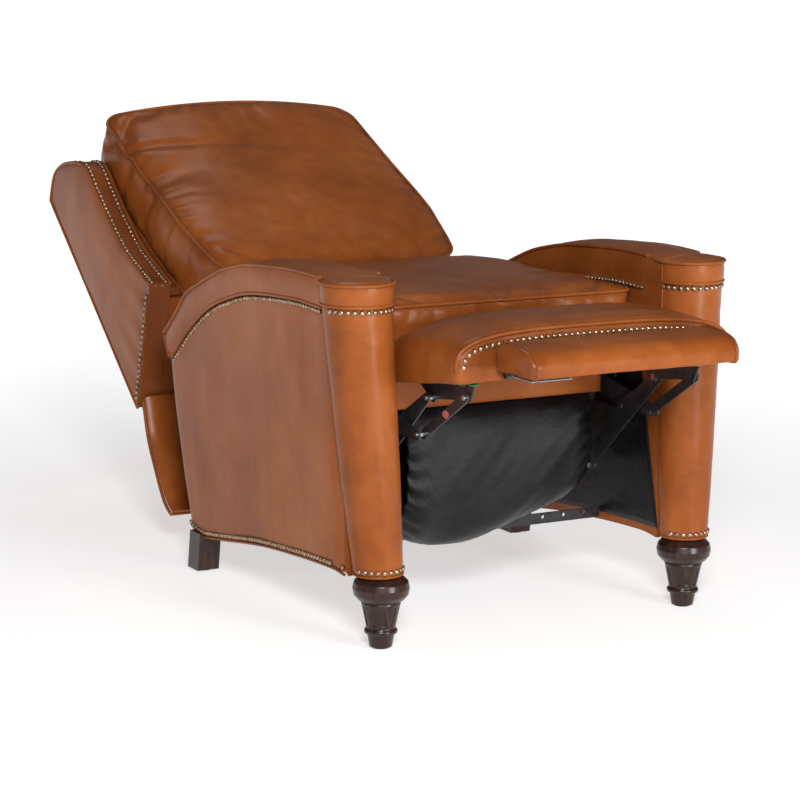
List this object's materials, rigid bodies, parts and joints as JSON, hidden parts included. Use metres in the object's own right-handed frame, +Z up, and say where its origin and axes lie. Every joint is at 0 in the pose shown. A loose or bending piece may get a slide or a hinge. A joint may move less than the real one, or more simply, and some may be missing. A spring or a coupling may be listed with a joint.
{
  "type": "recliner armchair",
  "caption": "Leather armchair whose seat slides back as the backrest reclines, with a linked footrest, fold-out end pad, turned front legs and nail trim.",
  "frame": {"origin": "centre of the reclined chair's footprint, at floor level", "axes": "+X to the sitter's left, +Y to the back, +Z up; the chair is stored fully reclined"},
  "size_m": [0.7986, 1.694, 0.807],
  "materials": {
    "leather": "semi-gloss, mottled caramel",
    "walnut": "satin, dark walnut stain",
    "frame_wood": "bare",
    "nailheads": "antique",
    "black_steel": "semi-gloss black",
    "spring_steel": "bright",
    "black_cloth": "woven nylon",
    "glide_plastic": "matte"
  },
  "bodies": {
    "base": {"arm_frame_left": "frame_wood", "arm_frame_right": "frame_wood", "arm_lining_left": "black_cloth", "arm_lining_right": "black_cloth", "arm_nails_left": "nailheads", "arm_nails_right": "nailheads", "arm_pad_left": "leather", "arm_pad_right": "leather", "arm_panel_left": "leather", "arm_panel_right": "leather", "arm_post_left": "leather", "arm_post_right": "leather", "cross_bar": "black_steel", "foot_glides": "glide_plastic", "leg_front_left": "walnut", "leg_front_right": "walnut", "leg_rear_left": "walnut", "leg_rear_right": "walnut", "rear_rail": "frame_wood", "slide_tracks": "black_steel"},
    "carriage": {"front_rail_cover": "leather", "mechanism_bag": "black_cloth", "mount_plate_left": "black_steel", "mount_plate_right": "black_steel", "plate_pins": "black_steel", "seat_cushion": "leather", "seat_deck": "black_cloth", "seat_front_rail": "frame_wood", "seat_rail_left": "frame_wood", "seat_rail_right": "frame_wood", "seat_rear_rail": "frame_wood", "seat_springs": "spring_steel", "slide_runners": "black_steel"},
    "back": {"back_arm_left": "black_steel", "back_arm_right": "black_steel", "back_cushion": "leather", "back_frame": "frame_wood", "back_shell": "leather", "tail_panel": "leather", "wing_left": "leather", "wing_nails_left": "nailheads", "wing_nails_right": "nailheads", "wing_right": "leather"},
    "link_a": {"link_a_left": "black_steel", "link_a_pins": "black_steel", "link_a_right": "black_steel"},
    "link_b": {"link_b_left": "black_steel", "link_b_pins": "black_steel", "link_b_right": "black_steel"},
    "link_c": {"link_c": "black_steel"},
    "link_d": {"link_d": "black_steel", "link_d_pins": "black_steel"},
    "footrest": {"flip_hinge_fixed": "black_steel", "footrest_board": "frame_wood", "footrest_brackets": "black_steel", "footrest_nails": "nailheads", "footrest_pad": "leather"},
    "flip_pad": {"flip_board": "frame_wood", "flip_hinge_moving": "black_steel", "flip_pad": "leather"}
  },
  "joints": [
    {"name": "seat_slide", "type": "slide", "parent": "base", "child": "carriage", "axis": [0, -1, 0], "range_m": [0, 0.075]},
    {"name": "back_recline", "type": "hinge", "parent": "carriage", "child": "back", "pos_m": [0, 0.153, 0.23], "axis": [1, 0, 0], "range_deg": [-0.5, 37.5]},
    {"name": "footrest_link_a", "type": "hinge", "parent": "carriage", "child": "link_a", "pos_m": [0, -0.3242, 0.4013], "axis": [1, 0, 0], "range_deg": [0, 104.7]},
    {"name": "footrest_link_b", "type": "hinge", "parent": "link_a", "child": "link_b", "pos_m": [0, -0.4455, 0.357], "axis": [1, 0, 0], "range_deg": [-91.04, 0.5]},
    {"name": "footrest_tilt", "type": "hinge", "parent": "link_b", "child": "footrest", "pos_m": [0, -0.567, 0.428], "axis": [1, 0, 0], "range_deg": [-0.5, 84.14]},
    {"name": "footrest_link_c", "type": "hinge", "parent": "carriage", "child": "link_c", "pos_m": [0, -0.218, 0.3148], "axis": [1, 0, 0], "range_deg": [-0.5, 95.68]},
    {"name": "footrest_link_d", "type": "hinge", "parent": "link_a", "child": "link_d", "pos_m": [0, -0.5472, 0.362], "axis": [1, 0, 0], "range_deg": [-81.18, 0.5]},
    {"name": "flip_pad_fold", "type": "hinge", "parent": "footrest", "child": "flip_pad", "pos_m": [0, -0.725, 0.485], "axis": [1, 0, 0], "range_deg": [-0.5, 172.3]}
  ],
  "couplings": [
    {"joint": "back_recline", "follows": "seat_slide", "rad_per_m": 8.6103},
    {"joint": "footrest_link_b", "follows": "footrest_link_a", "ratio": -0.86472},
    {"joint": "footrest_tilt", "follows": "footrest_link_a", "ratio": 0.79879},
    {"joint": "footrest_link_c", "follows": "footrest_link_a", "ratio": 0.90906},
    {"joint": "footrest_link_d", "follows": "footrest_link_a", "ratio": -0.77056},
    {"joint": "flip_pad_fold", "follows": "footrest_link_a", "ratio": 1.6408}
  ]
}
